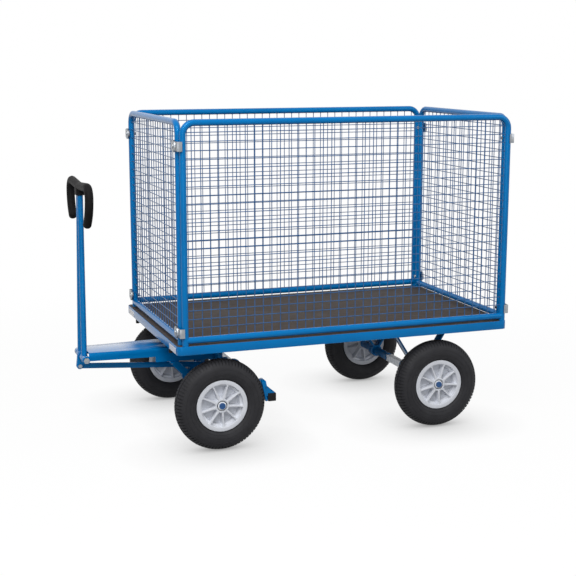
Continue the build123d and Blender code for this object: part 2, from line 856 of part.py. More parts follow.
def through_bolts(place, start, end, diameter, head, head_height):
    # Bolt across the cart at an (x, z) place, headed at start and nutted at end, on both sides if off centre.
    with BuildPart() as bolts:
        for s in (1, -1) if start > 0 else (1,):
            with Locations(along_y(place[0], s * (start + end + head_height) / 2, place[1])):
                Cylinder(diameter / 2, end - start + head_height)
            with BuildSketch(side_plane(s * (start - head_height / 2))):
                with Locations(place):
                    RegularPolygon(head / 2, 6, major_radius=False)
            extrude(amount=head_height / 2, both=True)
            with BuildSketch(side_plane(s * (end + head_height / 2))):
                with Locations(place):
                    RegularPolygon(head / 2, 6, major_radius=False)
                    Circle(diameter / 2 + running_clearance, mode=Mode.SUBTRACT)
            extrude(amount=head_height / 2, both=True)
    return bolts


pivot_bolts = through_bolts(
    (pivot_x, pivot_z), -barrel_half, barrel_half, pivot_bolt, pivot_bolt_head, pivot_bolt_head_height
)
save(pivot_bolts, "drawbar_pivot_bolt")

lug_outer = lug_inner + lug_thickness
rod_bolts = through_bolts(
    rod_bolt_place, -lug_outer, lug_outer, rod_bolt, rod_bolt_head, rod_bolt_head_height
)
save(rod_bolts, "brake_rod_bolt")

hanger_start = arm_spacing / 2 - arm_thickness / 2 - tab_gap
hanger_end = tab_y + tab_thickness / 2
hanger_bolts = through_bolts(
    brake_pivot_place, hanger_start, hanger_end, hanger_bolt, hanger_bolt_head, hanger_bolt_head_height
)
save(hanger_bolts, "brake_hanger_bolts")

# Handle: hub arc, straight arm, horn and tail, drawn for one side and mirrored
horn_middle = horn_reach - horn_radius
hub_rise = handle_hub_radius + horn_drop
arm_slope = degrees(
    atan2(horn_middle, hub_rise) - acos((handle_hub_radius + horn_radius) / hypot(horn_middle, hub_rise))
)
hub_end = (
    handle_hub_radius * sin(radians(arm_slope)),
    handle_height + handle_hub_radius * (1 - cos(radians(arm_slope))),
)
horn_start = (
    horn_middle - horn_radius * sin(radians(arm_slope)),
    handle_height - horn_drop + horn_radius * cos(radians(arm_slope)),
)


def handle_tube(radius, bore=0, extra_turn=0):
    with BuildPart() as tube:
        with BuildLine(drawbar_plane) as path:
            JernArc((0, handle_height), (1, 0), handle_hub_radius, arm_slope)
            Line(hub_end, horn_start)
            slope = (cos(radians(arm_slope)), sin(radians(arm_slope)))
            JernArc(horn_start, slope, horn_radius, -90 - arm_slope)
            horn_tip = (horn_reach, handle_height - horn_drop)
            JernArc(horn_tip, (0, -1), horn_tail_radius, -horn_tail_turn - extra_turn)
        with BuildSketch(Plane(origin=path.line @ 0, z_dir=(0, 1, 0))):
            Circle(radius)
            if bore:
                Circle(bore, mode=Mode.SUBTRACT)
        sweep(path=path.line)
        mirror(about=Plane.XZ)
    return tube


bar_radius = handle_bar_diameter / 2
handle_bar = handle_tube(bar_radius, bar_radius - handle_bar_wall)
save(handle_bar, "handle_bar")

grip_radius = bar_radius + grip_wall
end_turn = degrees(grip_end / horn_tail_radius)
grip_skin = handle_tube(grip_radius, extra_turn=end_turn)
grip_core = handle_tube(bar_radius + grip_fit)
collar_width = fork_top_spread + fork_tube + 2 * grip_wall
collar_depth = fork_tube + 2 * grip_wall
socket_spread = fork_top_spread + 2 * fork_drift * (collar_drop - bar_radius) / fork_top
collar_foot = Plane(
    origin=drawbar_plane.from_local_coords(Vector(0, handle_height - collar_drop, 0)),
    x_dir=(0, 1, 0),
    z_dir=drawbar_up,
)
with BuildPart() as handle_grip:
    add(grip_skin.part)
    with BuildSketch(collar_foot):
        SlotOverall(collar_width, collar_depth)
    extrude(amount=collar_drop)
    with BuildSketch(collar_foot):
        SlotCenterToCenter(socket_spread, fork_tube + 2 * grip_fit)
    extrude(amount=collar_drop, mode=Mode.SUBTRACT)
    add(grip_core.part, mode=Mode.SUBTRACT)
save(handle_grip, "handle_grip")


# Brake rod: eye on the lug bolt, flat bar, and a curved slot that the lever pin runs in
def slot_place(drawbar_angle):
    # Where the lever pin stands in the rod's own frame at a drawbar angle.
    pin = turned(lever_pin_place, brake_pivot_place, brake_ratio * drawbar_angle)
    bolt = turned(rod_bolt_place, (pivot_x, pivot_z), drawbar_angle)
    return (pin[0] - bolt[0] + rod_bolt_place[0], pin[1] - bolt[1] + rod_bolt_place[1])


rod_run = hypot(rod_bolt_place[0] - lever_pin_place[0], rod_bolt_place[1] - lever_pin_place[1])
rod_slope = degrees(atan2(rod_bolt_place[1] - lever_pin_place[1], rod_bolt_place[0] - lever_pin_place[0]))
rod_middle = (
    (rod_bolt_place[0] + lever_pin_place[0]) / 2,
    (rod_bolt_place[1] + lever_pin_place[1]) / 2,
)
slot_width = rod_bolt + 2 * slot_play
slot_line = ThreePointArc(slot_place(0), slot_place(drawbar_travel / 2), slot_place(drawbar_travel))
with BuildPart() as brake_rod:
    with BuildSketch(side_plane(0)):
        with Locations(Location(rod_middle, rod_slope)):
            Rectangle(rod_run, rod_height)
        with Locations(rod_bolt_place):
            Circle(rod_eye_radius)
        SlotArc(slot_line, slot_width + 2 * slot_margin)
        SlotArc(slot_line, slot_width, mode=Mode.SUBTRACT)
        with Locations(rod_bolt_place):
            Circle(rod_bolt / 2 + running_clearance, mode=Mode.SUBTRACT)
    extrude(amount=rod_thickness / 2, both=True)
save(brake_rod, "brake_rod")

# Brake: bar across the cart with arms, shoes, end caps and the lever
with BuildPart() as brake_bar_tube:
    with Locations((brake_bar_x, 0, brake_bar_height)):
        Box(brake_bar, brake_bar_length, brake_bar)
        inner_bar = brake_bar - 2 * brake_bar_wall
        Box(inner_bar, brake_bar_length, inner_bar, mode=Mode.SUBTRACT)
save(brake_bar_tube, "brake_bar")

with BuildPart() as brake_end_caps:
    cap_y = (brake_bar_length + brake_cap) / 2
    with Locations((brake_bar_x, cap_y, brake_bar_height), (brake_bar_x, -cap_y, brake_bar_height)):
        Box(brake_bar, brake_cap, brake_bar)
    fillet(brake_end_caps.edges().filter_by(Axis.Y), brake_bar_wall)
save(brake_end_caps, "brake_end_caps")

arm_elbow = (brake_pivot_place[0], arm_elbow_height)
arm_foot = (brake_bar_x, brake_bar_height)
with BuildPart() as brake_arms:
    for s in (1, -1):
        with BuildSketch(side_plane(s * arm_spacing / 2)):
            with Locations(brake_pivot_place, arm_elbow):
                Circle(arm_width / 2)
            for top, end in ((brake_pivot_place, arm_elbow), (arm_elbow, arm_foot)):
                run = (top[0] - end[0], top[1] - end[1])
                middle = (end[0] + run[0] / 2, end[1] + run[1] / 2)
                with Locations(Location(middle, degrees(atan2(run[1], run[0])))):
                    Rectangle(hypot(*run), arm_width)
            with Locations(arm_foot):
                Rectangle(brake_bar, brake_bar, mode=Mode.SUBTRACT)
            with Locations(brake_pivot_place):
                Circle(hanger_bolt / 2 + running_clearance, mode=Mode.SUBTRACT)
        extrude(amount=arm_thickness / 2, both=True)
save(brake_arms, "brake_arms")

bar_top = brake_bar_height + brake_bar / 2
lever_y = rod_thickness / 2 + 2 * rod_side_gap + lug_thickness / 2
lever_outer = lever_y + lug_thickness / 2
with BuildPart() as brake_lever:
    for s in (1, -1):
        with BuildSketch(side_plane(s * lever_y)):
            with Locations(lever_pin_place):
                Circle(lever_head_radius)
            with Locations((brake_bar_x, bar_top + lever_head_radius / 2)):
                Rectangle(lever_base, lever_head_radius)
            make_hull()
        extrude(amount=lug_thickness / 2, both=True)
    with Locations(along_y(lever_pin_place[0], 0, lever_pin_place[1])):
        Cylinder(rod_bolt / 2, 2 * (lever_outer + lever_pin_end))
save(brake_lever, "brake_lever")

# Shoe: a plate tangent to the tyre with a thick head, held off the bar by two gussets
shoe_tilt = radians(shoe_angle)
shoe_face = tyre_radius + shoe_gap
shoe_middle = shoe_face + shoe_thickness / 2


def shoe_back(z):
    # X of the plate's rear face at a height.
    level = (shoe_face + shoe_thickness) / cos(shoe_tilt)
    return front_axle_x - level + (z - axle_z) * tan(shoe_tilt)


bar_front = brake_bar_x + brake_bar / 2
shoe_y = wheel_y - tyre_half + shoe_inset + shoe_width / 2
gusset_top = bar_top + gusset_rise
gusset_bottom = bar_top - gusset_low
with BuildPart() as brake_shoes:
    for s in (1, -1):
        with BuildSketch(side_plane(s * shoe_y)):
            place = (
                front_axle_x - shoe_middle * cos(shoe_tilt),
                axle_z + shoe_middle * sin(shoe_tilt),
            )
            with Locations(Location(place, -shoe_angle)):
                Rectangle(shoe_thickness, shoe_length)
                with Locations(((shoe_thickness - shoe_head) / 2, (shoe_length - shoe_head_height) / 2)):
                    Rectangle(shoe_head, shoe_head_height)
        extrude(amount=shoe_width / 2, both=True)
        for e in (1, -1):
            with BuildSketch(side_plane(s * shoe_y + e * gusset_spacing / 2)):
                Polygon(
                    (bar_front, gusset_bottom),
                    (bar_front, bar_top),
                    (bar_front - gusset_foot, bar_top),
                    (shoe_back(gusset_top), gusset_top),
                    (shoe_back(gusset_bottom), gusset_bottom),
                    align=None,
                )
            extrude(amount=gusset_thickness / 2, both=True)
save(brake_shoes, "brake_shoes")
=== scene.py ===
from math import acos, atan2, cos, hypot, pi, radians, sin
import bmesh
import bpy
from mathutils import Matrix, Vector


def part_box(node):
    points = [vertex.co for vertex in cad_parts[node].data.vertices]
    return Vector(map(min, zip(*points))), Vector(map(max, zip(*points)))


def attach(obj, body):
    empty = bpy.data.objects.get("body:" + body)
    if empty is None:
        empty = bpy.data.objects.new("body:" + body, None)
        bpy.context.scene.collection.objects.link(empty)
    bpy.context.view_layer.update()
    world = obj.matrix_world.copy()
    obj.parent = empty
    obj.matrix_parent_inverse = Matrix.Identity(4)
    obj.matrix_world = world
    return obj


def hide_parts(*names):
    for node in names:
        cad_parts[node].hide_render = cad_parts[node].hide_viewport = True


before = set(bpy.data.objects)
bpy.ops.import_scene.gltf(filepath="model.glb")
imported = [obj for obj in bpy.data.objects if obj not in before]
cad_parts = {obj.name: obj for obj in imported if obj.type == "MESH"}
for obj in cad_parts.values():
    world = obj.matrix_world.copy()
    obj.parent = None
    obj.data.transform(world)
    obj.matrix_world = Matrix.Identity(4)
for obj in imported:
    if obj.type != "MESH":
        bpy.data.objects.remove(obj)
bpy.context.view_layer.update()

mm = 0.001
print("frame loaded:", len(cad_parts), "nodes")


# Finishes: each look gives its colours as read off a screen, 0 to 255, and its noise scales per metre

def screenColour(red, green, blue):
    # to the linear values that a shader takes
    steps = [c / 255 for c in (red, green, blue)]
    return tuple(c / 12.92 if c <= 0.04045 else ((c + 0.055) / 1.055) ** 2.4 for c in steps) + (1.0,)


def newFinish(name, metallic=0.0, specular=0.5, roughness=0.5):
    material = bpy.data.materials.new(name)
    material.use_nodes = True
    shader = material.node_tree.nodes["Principled BSDF"]
    shader.inputs["Roughness"].default_value = roughness
    shader.inputs["Metallic"].default_value = metallic
    shader.inputs["Specular IOR Level"].default_value = specular
    return material, material.node_tree, shader


def objectPlace(tree, scale=(1, 1, 1)):
    place = tree.nodes.new("ShaderNodeTexCoord")
    mapping = tree.nodes.new("ShaderNodeMapping")
    mapping.inputs["Scale"].default_value = scale
    tree.links.new(place.outputs["Object"], mapping.inputs["Vector"])
    return mapping.outputs["Vector"]


def noiseAt(tree, vector, scale, detail=4.0, roughness=0.55):
    noise = tree.nodes.new("ShaderNodeTexNoise")
    noise.inputs["Scale"].default_value = scale
    noise.inputs["Detail"].default_value = detail
    noise.inputs["Roughness"].default_value = roughness
    tree.links.new(vector, noise.inputs["Vector"])
    return noise.outputs["Fac"]


def rampColour(tree, value, stops):
    ramp = tree.nodes.new("ShaderNodeValToRGB")
    while len(ramp.color_ramp.elements) < len(stops):
        ramp.color_ramp.elements.new(0.5)
    for element, (position, colour) in zip(ramp.color_ramp.elements, stops):
        element.position = position
        element.color = colour
    tree.links.new(value, ramp.inputs["Fac"])
    return ramp.outputs["Color"]


def spread(tree, value, low, high):
    span = tree.nodes.new("ShaderNodeMapRange")
    span.inputs["To Min"].default_value = low
    span.inputs["To Max"].default_value = high
    tree.links.new(value, span.inputs["Value"])
    return span.outputs["Result"]


def between(tree, value, low, high):
    # 0 to 1 while the value runs from low to high
    span = tree.nodes.new("ShaderNodeMapRange")
    span.inputs["From Min"].default_value = low
    span.inputs["From Max"].default_value = high
    tree.links.new(value, span.inputs["Value"])
    return span.outputs["Result"]


def axisOf(tree, vector, axis):
    split = tree.nodes.new("ShaderNodeSeparateXYZ")
    tree.links.new(vector, split.inputs["Vector"])
    return split.outputs[axis]


def combine(tree, operation, a, b):
    sums = tree.nodes.new("ShaderNodeMath")
    sums.operation = operation
    tree.links.new(a, sums.inputs[0])
    tree.links.new(b, sums.inputs[1])
    return sums.outputs["Value"]


def toneBy(tree, shader, value, tones):
    stops = [(position, screenColour(*colour)) for position, colour in tones]
    tree.links.new(rampColour(tree, value, stops), shader.inputs["Base Color"])


def roughenBy(tree, shader, value, limits):
    tree.links.new(spread(tree, value, *limits), shader.inputs["Roughness"])


def bumpOn(tree, shader, height, strength, distance):
    bump = tree.nodes.new("ShaderNodeBump")
    bump.inputs["Strength"].default_value = strength
    bump.inputs["Distance"].default_value = distance
    tree.links.new(height, bump.inputs["Height"])
    tree.links.new(bump.outputs["Normal"], shader.inputs["Normal"])


paintLook = {"tones": ((0.25, (0, 96, 158)), (0.5, (0, 105, 170)), (0.8, (2, 112, 178))), "drift": 5,
             "roughness": (0.18, 0.26), "patches": 60, "specular": 0.4, "tint": (0.06, 0.5, 1.0, 1.0),
             "coat": 0.12, "coatRoughness": 0.06}


def bluePaint():
    # Powder coat: a soft drift of tone under a smooth blue sheen
    look = paintLook
    material, tree, shader = newFinish("bluePaint", specular=look["specular"])
    shader.inputs["Specular Tint"].default_value = look["tint"]
    shader.inputs["Coat Weight"].default_value = look["coat"]
    shader.inputs["Coat Roughness"].default_value = look["coatRoughness"]
    vector = objectPlace(tree)
    toneBy(tree, shader, noiseAt(tree, vector, look["drift"]), look["tones"])
    roughenBy(tree, shader, noiseAt(tree, vector, look["patches"]), look["roughness"])
    return material


# painted sheen: level and front set where the clear coat starts, by how far a face turns up and by how far
# forward it lies
channelSheenLook = {"coatRoughness": 0.14, "coatIor": 2.8, "level": (0.6, 0.95), "front": (0.69, 0.75)}


def channelSheenPaint():
    # Painted sheen: the same coat, with its clear coat laid only on upward faces towards the drawbar, so that
    # the top there shows a pale reflection
    look = channelSheenLook
    material = bluePaint()
    material.name = "channelSheenPaint"
    tree = material.node_tree
    shader = tree.nodes["Principled BSDF"]
    shader.inputs["Coat Roughness"].default_value = look["coatRoughness"]
    shader.inputs["Coat IOR"].default_value = look["coatIor"]
    # painted sheen: the coat's weight follows the facing of the surface, not the paint
    surface = tree.nodes.new("ShaderNodeNewGeometry")
    sheenUpward = between(tree, axisOf(tree, surface.outputs["Normal"], "Z"), *look["level"])
    sheenForward = between(tree, axisOf(tree, objectPlace(tree), "X"), *look["front"])
    tree.links.new(combine(tree, "MULTIPLY", sheenUpward, sheenForward), shader.inputs["Coat Weight"])
    return material


wireLook = {"tones": ((0.3, (38, 80, 126)), (0.7, (50, 94, 142))), "drift": 40, "roughness": 0.3,
            "specular": 0.3}


def blueWire():
    # The same coat on thin wire, where it comes out darker and greyer
    look = wireLook
    material, tree, shader = newFinish("blueWire", specular=look["specular"], roughness=look["roughness"])
    toneBy(tree, shader, noiseAt(tree, objectPlace(tree), look["drift"]), look["tones"])
    return material


capLook = {"tones": ((0.3, (16, 62, 112)), (0.7, (26, 76, 128))), "drift": 120, "roughness": 0.42,
           "grain": (2200, 2), "relief": (0.25, 0.05 * mm)}


def bluePlastic():
    # Moulded caps with a fine grain
    look = capLook
    material, tree, shader = newFinish("bluePlastic", roughness=look["roughness"])
    vector = objectPlace(tree)
    toneBy(tree, shader, noiseAt(tree, vector, look["drift"]), look["tones"])
    bumpOn(tree, shader, noiseAt(tree, vector, *look["grain"]), *look["relief"])
    return material


boardLook = {"tones": ((0.3, (70, 64, 60)), (0.55, (79, 72, 68)), (0.8, (86, 79, 75))), "specular": 0.08,
             "stretch": (3, 26, 26), "streak": (5, 6, 0.65), "roughness": (0.58, 0.74), "patches": 18,
             "grid": 190, "gridRandom": 0.15, "relief": (0.25, 0.3 * mm)}


def boardFilm():
    # Film-faced plywood: brown film with fine streaks along the sheet and a faint pressed grid
    look = boardLook
    material, tree, shader = newFinish("boardFilm", specular=look["specular"])
    toneBy(tree, shader, noiseAt(tree, objectPlace(tree, look["stretch"]), *look["streak"]), look["tones"])
    roughenBy(tree, shader, noiseAt(tree, objectPlace(tree), look["patches"]), look["roughness"])
    grid = tree.nodes.new("ShaderNodeTexVoronoi")
    grid.inputs["Scale"].default_value = look["grid"]
    grid.inputs["Randomness"].default_value = look["gridRandom"]
    tree.links.new(objectPlace(tree), grid.inputs["Vector"])
    bumpOn(tree, shader, grid.outputs["Distance"], *look["relief"])
    return material


zincLook = {"tones": ((0.3, (132, 138, 148)), (0.55, (152, 156, 160)), (0.8, (164, 164, 158))), "clouds": 90,
            "metallic": 1.0, "roughness": (0.22, 0.42), "patches": 260, "grain": (1500, 3),
            "relief": (0.2, 0.05 * mm)}


def zincPlate():
    # Bright zinc with the faint blue and straw clouds of its passivation
    look = zincLook
    material, tree, shader = newFinish("zincPlate", look["metallic"])
    vector = objectPlace(tree)
    toneBy(tree, shader, noiseAt(tree, vector, look["clouds"]), look["tones"])
    roughenBy(tree, shader, noiseAt(tree, vector, look["patches"]), look["roughness"])
    bumpOn(tree, shader, noiseAt(tree, vector, *look["grain"]), *look["relief"])
    return material


dipLook = {"tones": ((0.0, (150, 154, 160)), (0.5, (172, 176, 182)), (1.0, (190, 193, 197))), "crystals": 130,
           "metallic": 0.85, "roughness": (0.34, 0.52)}


def galvanised():
    # Hot-dip zinc: flat crystals of slightly different grey
    look = dipLook
    material, tree, shader = newFinish("galvanised", look["metallic"])
    crystals = tree.nodes.new("ShaderNodeTexVoronoi")
    crystals.inputs["Scale"].default_value = look["crystals"]
    tree.links.new(objectPlace(tree), crystals.inputs["Vector"])
    split = tree.nodes.new("ShaderNodeSeparateColor")
    tree.links.new(crystals.outputs["Color"], split.inputs["Color"])
    toneBy(tree, shader, split.outputs["Red"], look["tones"])
    roughenBy(tree, shader, split.outputs["Green"], look["roughness"])
    return material


raceLook = {"tones": ((0.35, (58, 58, 60)), (0.7, (112, 113, 116))), "grease": 70, "metallic": 0.9,
            "roughness": 0.38, "stretch": (1, 1, 40), "turning": (60, 2), "relief": (0.2, 0.05 * mm)}


def raceSteel():
    # Turned steel under a film of dark grease
    look = raceLook
    material, tree, shader = newFinish("raceSteel", look["metallic"], roughness=look["roughness"])
    toneBy(tree, shader, noiseAt(tree, objectPlace(tree), look["grease"]), look["tones"])
    marks = noiseAt(tree, objectPlace(tree, look["stretch"]), *look["turning"])
    bumpOn(tree, shader, marks, *look["relief"])
    return material


mouldingLook = {"stops": (0.3, 0.75), "drift": 55, "patches": 150, "smoother": 0.06, "rougher": 0.08,
                "grainDetail": 3, "relief": (0.35, 0.12 * mm)}
blackMouldings = {
    "grip_rubber": {"name": "gripRubber", "colours": ((24, 23, 24), (31, 30, 31)), "roughness": 0.5,
                    "grain": 1600, "specular": 0.04},
    "black_plastic": {"name": "blackPlastic", "colours": ((14, 14, 15), (24, 24, 26)), "roughness": 0.4,
                      "grain": 1400, "specular": 0.16},
    "buffer_rubber": {"name": "bufferRubber", "colours": ((13, 13, 13), (22, 22, 22)), "roughness": 0.6,
                      "grain": 900, "specular": 0.16},
}


def blackMoulding(own):
    # Black plastic or rubber with a moulded grain
    look = mouldingLook
    material, tree, shader = newFinish(own["name"], specular=own["specular"])
    vector = objectPlace(tree)
    toneBy(tree, shader, noiseAt(tree, vector, look["drift"]), zip(look["stops"], own["colours"]))
    limits = (own["roughness"] - look["smoother"], own["roughness"] + look["rougher"])
    roughenBy(tree, shader, noiseAt(tree, vector, look["patches"]), limits)
    bumpOn(tree, shader, noiseAt(tree, vector, own["grain"], look["grainDetail"]), *look["relief"])
    return material


tyreLook = {"tones": ((0.25, (32, 32, 35)), (0.5, (37, 37, 40)), (0.8, (44, 44, 47))), "marks": (24, 6),
            "specular": 0.2, "roughness": (0.5, 0.72), "patches": 40, "grain": (700, 4),
            "relief": (0.4, 0.15 * mm)}
rimLook = {"tones": ((0.3, (200, 203, 210)), (0.6, (207, 210, 217)), (0.85, (213, 216, 223))), "marks": (30,),
           "specular": 0.3, "roughness": (0.34, 0.48), "patches": 90, "grain": (1200, 3),
           "relief": (0.25, 0.06 * mm)}


def wheelFinish(name, look):
    # Tyre: black rubber, dusty in places. Rim: pale moulded plastic with flow marks. Both have a fine grain.
    material, tree, shader = newFinish(name, specular=look["specular"])
    vector = objectPlace(tree)
    toneBy(tree, shader, noiseAt(tree, vector, *look["marks"]), look["tones"])
    roughenBy(tree, shader, noiseAt(tree, vector, look["patches"]), look["roughness"])
    bumpOn(tree, shader, noiseAt(tree, vector, *look["grain"]), *look["relief"])
    return material


washerLook = {"tones": ((0.3, (226, 229, 233)), (0.7, (240, 242, 245))), "drift": 160, "roughness": 0.4}
plateLook = {"tones": ((0.3, (222, 223, 228)), (0.7, (236, 236, 239))), "drift": 45, "roughness": 0.35}


def paleFinish(name, look):
    # Bright plated washers, and the white lacquer of the bare plates
    material, tree, shader = newFinish(name, roughness=look["roughness"])
    toneBy(tree, shader, noiseAt(tree, objectPlace(tree), look["drift"]), look["tones"])
    return material


finishes = {
    "blue_paint": bluePaint(),
    "blue_wire": blueWire(),
    "blue_plastic": bluePlastic(),
    "board_film": boardFilm(),
    "zinc": zincPlate(),
    "galvanised": galvanised(),
    "race_steel": raceSteel(),
    "handle_steel": raceSteel(),
    "tyre": wheelFinish("tyreRubber", tyreLook),
    "rim_plastic": wheelFinish("rimPlastic", rimLook),
    "plate": paleFinish("plateWhite", plateLook),
}
for slotName, own in blackMouldings.items():
    finishes[slotName] = blackMoulding(own)
brightWasher = paleFinish("washerPlate", washerLook)
ownFinish = {"drawbar_channel": channelSheenPaint(), "front_axle_washers": brightWasher,
             "rear_axle_washers": brightWasher}
slotOf = {}
for node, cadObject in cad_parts.items():
    slotOf[node] = cadObject.data.materials[0].name.split(".")[0]
    cadObject.data.materials[0] = finishes[slotOf[node]]
print("finishes:", len(finishes))


# Shared ways to make a piece

weldDistance = 0.001 * mm


def addPiece(name, bm, finish, body, nodes=(), sharpAngle=35):
    mesh = bpy.data.meshes.new(name)
    bm.to_mesh(mesh)
    bm.free()
    for layer in [a for a in mesh.attributes if a.name == "custom_normal"]:
        mesh.attributes.remove(layer)
    mesh.materials.clear()
    mesh.materials.append(finish)
    mesh.shade_smooth()
    mesh.set_sharp_from_angle(angle=radians(sharpAngle))
    piece = bpy.data.objects.new(name, mesh)
    bpy.context.scene.collection.objects.link(piece)
    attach(piece, body)
    if nodes:
        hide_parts(*nodes)
    return piece


def closeUp(bm, distance=weldDistance):
    bmesh.ops.remove_doubles(bm, verts=bm.verts, dist=distance)
    bmesh.ops.recalc_face_normals(bm, faces=bm.faces)


def newVerts(bm, before):
    return [v for v in bm.verts if v not in before]


def edgesOf(verts):
    return list({e for v in verts for e in v.link_edges})


def onlyVerts(geometry):
    return [g for g in geometry if isinstance(g, bmesh.types.BMVert)]


def onlyEdges(geometry):
    return [g for g in geometry if isinstance(g, bmesh.types.BMEdge)]


def roundOff(bm, geometry, width, affect, segments):
    bmesh.ops.bevel(bm, geom=geometry, offset=width, offset_type="OFFSET", affect=affect, segments=segments,
                    profile=0.5, material=-1, clamp_overlap=True)


def moveAll(bm, place, flipY=False):
    # Carry a shape made about the origin to its place, mirrored across the cart if asked
    if flipY:
        bmesh.ops.scale(bm, vec=(1, -1, 1), verts=bm.verts)
        bmesh.ops.reverse_faces(bm, faces=bm.faces)
    bmesh.ops.translate(bm, vec=place, verts=bm.verts)


def middle(node):
    low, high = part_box(node)
    return (low + high) / 2


# Pressed, sawn and welded steel: the same shapes with the edges broken, by widths in mm

easing = {"segments": 2, "edgeAngle": 25, "flatAngle": 0.3}
easedSteel = {
    "chassis": {"deck_frame": 1.4, "deck_crossbeams": 0.9, "turntable_mount_plate": 0.8,
                "rear_axle_brackets": 1.2, "deck_board": 0.8, "rear_axle_washers": 0.4},
    "bogie": {"bogie_plate": 1.0, "drawbar_channel": 1.6, "front_axle_brackets": 1.2,
              "front_axle_washers": 0.4},
    "drawbar": {"drawbar_lugs": 0.9},
    "rod": {"brake_rod": 1.0},
    "brake": {"brake_bar": 1.6, "brake_arms": 1.0, "brake_shoes": 1.0, "brake_lever": 0.8},
    "front_wall": {"front_corner_clips": 0.8},
    "rear_wall": {"rear_corner_clips": 0.8},
}


def easedCopy(node, width):
    bm = bmesh.new()
    bm.from_mesh(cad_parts[node].data)
    bmesh.ops.remove_doubles(bm, verts=bm.verts, dist=weldDistance)
    bmesh.ops.dissolve_limit(bm, angle_limit=radians(easing["flatAngle"]), verts=bm.verts, edges=bm.edges)
    least = radians(easing["edgeAngle"])
    hard = [e for e in bm.edges if e.is_manifold and e.calc_face_angle(0) > least]
    roundOff(bm, hard, width, "EDGES", easing["segments"])
    return bm


for body, nodes in easedSteel.items():
    for node, width in nodes.items():
        slotName = slotOf[node]
        finish = ownFinish.get(node, finishes[slotName])
        addPiece(node + "_eased", easedCopy(node, width * mm), finish, body, (node,))
print("eased steel:", sum(len(n) for n in easedSteel.values()))


# Wall nets: straight wires welded crosswise, ends let into the tube

net = {"wire": 3.7 * mm, "sides": 10, "tube": 28 * mm, "bite": 1.5 * mm, "sill": 52 * mm, "head": 39 * mm,
       "rows": 23, "weld": 3.4 * mm, "lap": 0.46}
netColumns = {"left": (38, 37 * mm), "right": (38, 37 * mm), "front": (19, 48 * mm), "rear": (19, 48 * mm)}
outwards = {"left": (0, 1, 0), "right": (0, -1, 0), "front": (1, 0, 0), "rear": (-1, 0, 0)}


def evenly(first, last, count):
    return [first + (last - first) * i / (count - 1) for i in range(count)]


def weldedWire(bm, start, end):
    run = end - start
    turn = run.to_track_quat("Z", "Y").to_matrix().to_4x4()
    place = Matrix.Translation((start + end) / 2) @ turn
    bmesh.ops.create_cone(bm, cap_ends=True, segments=net["sides"], radius1=net["wire"] / 2,
                          radius2=net["wire"] / 2, depth=run.length, matrix=place)
    for spot in (start, end):
        bmesh.ops.create_icosphere(bm, subdivisions=1, radius=net["weld"], matrix=Matrix.Translation(spot))


def wallNet(wall):
    low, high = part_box(wall + "_wall_frame")
    netLow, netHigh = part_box(wall + "_wall_mesh")
    along = Vector((1, 0, 0)) if wall in ("left", "right") else Vector((0, 1, 0))
    layer = Vector(outwards[wall]) * net["wire"] * net["lap"]
    centre = (netLow + netHigh) / 2
    flat = Vector((centre.x, centre.y, 0))
    reach = (high - low).dot(along) / 2 - net["tube"]          # to the inner face of a post
    bottom = netLow.z - net["bite"]
    top = netHigh.z + net["bite"]
    columns, inset = netColumns[wall]
    edge = reach + net["tube"] / 2 - inset
    bm = bmesh.new()
    for offset in evenly(-edge, edge, columns):
        foot = flat + along * offset - layer
        weldedWire(bm, foot + Vector((0, 0, bottom)), foot + Vector((0, 0, top)))
    firstRow = netLow.z - net["tube"] / 2 + net["sill"]
    lastRow = netHigh.z + net["tube"] / 2 - net["head"]
    for height in evenly(firstRow, lastRow, net["rows"]):
        middleOfRow = flat + layer + Vector((0, 0, height))
        bite = along * (reach + net["bite"])
        weldedWire(bm, middleOfRow - bite, middleOfRow + bite)
    addPiece(wall + "_wall_net", bm, finishes["blue_wire"], wall + "_wall", (wall + "_wall_mesh",))


for wall in netColumns:
    wallNet(wall)
print("wall nets:", len(netColumns))


# Wheels: sections are drawn in the plane X = 0 as (axle offset, radius) and spun about the axle

wheelSharp = 40


def sectionVert(bm, offset, radius):
    return bm.verts.new((0, offset, radius))


def arcPoint(centre, radius, angle, side):
    return centre[0] + side * radius * cos(angle), centre[1] + radius * sin(angle)


def arcFrom(bm, vert, centre, turn, steps):
    spun = bmesh.ops.spin(bm, geom=[vert], cent=(0, *centre), axis=(1, 0, 0), angle=turn, steps=steps)
    return onlyVerts(spun["geom_last"])[0]


def joinVerts(bm, *verts):
    for a, b in zip(verts, verts[1:]):
        bm.edges.new((a, b))


def spinRound(bm, edges, steps):
    verts = list({v for e in edges for v in e.verts})
    bmesh.ops.spin(bm, geom=verts + list(edges), cent=(0, 0, 0), axis=(0, 1, 0), angle=2 * pi, steps=steps,
                   use_merge=True)


# lug angles are about the upper centre of the sidewall, shoulder and inner ones about the crown's centre
tyre = {"steps": 150, "bead": (33.7 * mm, 111.5 * mm), "seat": 101.3 * mm, "groove": (30.5 * mm, 114.6 * mm),
        "belly": (50 * mm, 150 * mm), "lowerRadius": 49.5 * mm, "lowerTurn": 42.5, "lowerSteps": 8,
        "upperRadius": 58.57 * mm, "upperTurn": 27, "upperSteps": 5,
        "crownCentre": (0, 140 * mm), "crownRadius": 60 * mm, "crownSteps": 6, "treadDepth": 4 * mm,
        "lugs": 80, "lugShare": 0.7, "lugLow": 15, "lugHigh": 40.45, "shoulderAngle": 53.13, "lugInner": 76,
        "lugSteps": 3, "lugSink": 1.5 * mm, "heelIn": 8 * mm, "heelUp": 3 * mm, "lugPhase": {1: 0, -1: 0.5},
        "centreHalf": 81, "centrePhase": 0.25, "ringRadius": 1.1 * mm, "ringSides": 8, "rings": (12, -8, -26)}


def sidewallCentre(side, radius):
    return side * (tyre["belly"][0] - radius), tyre["belly"][1]


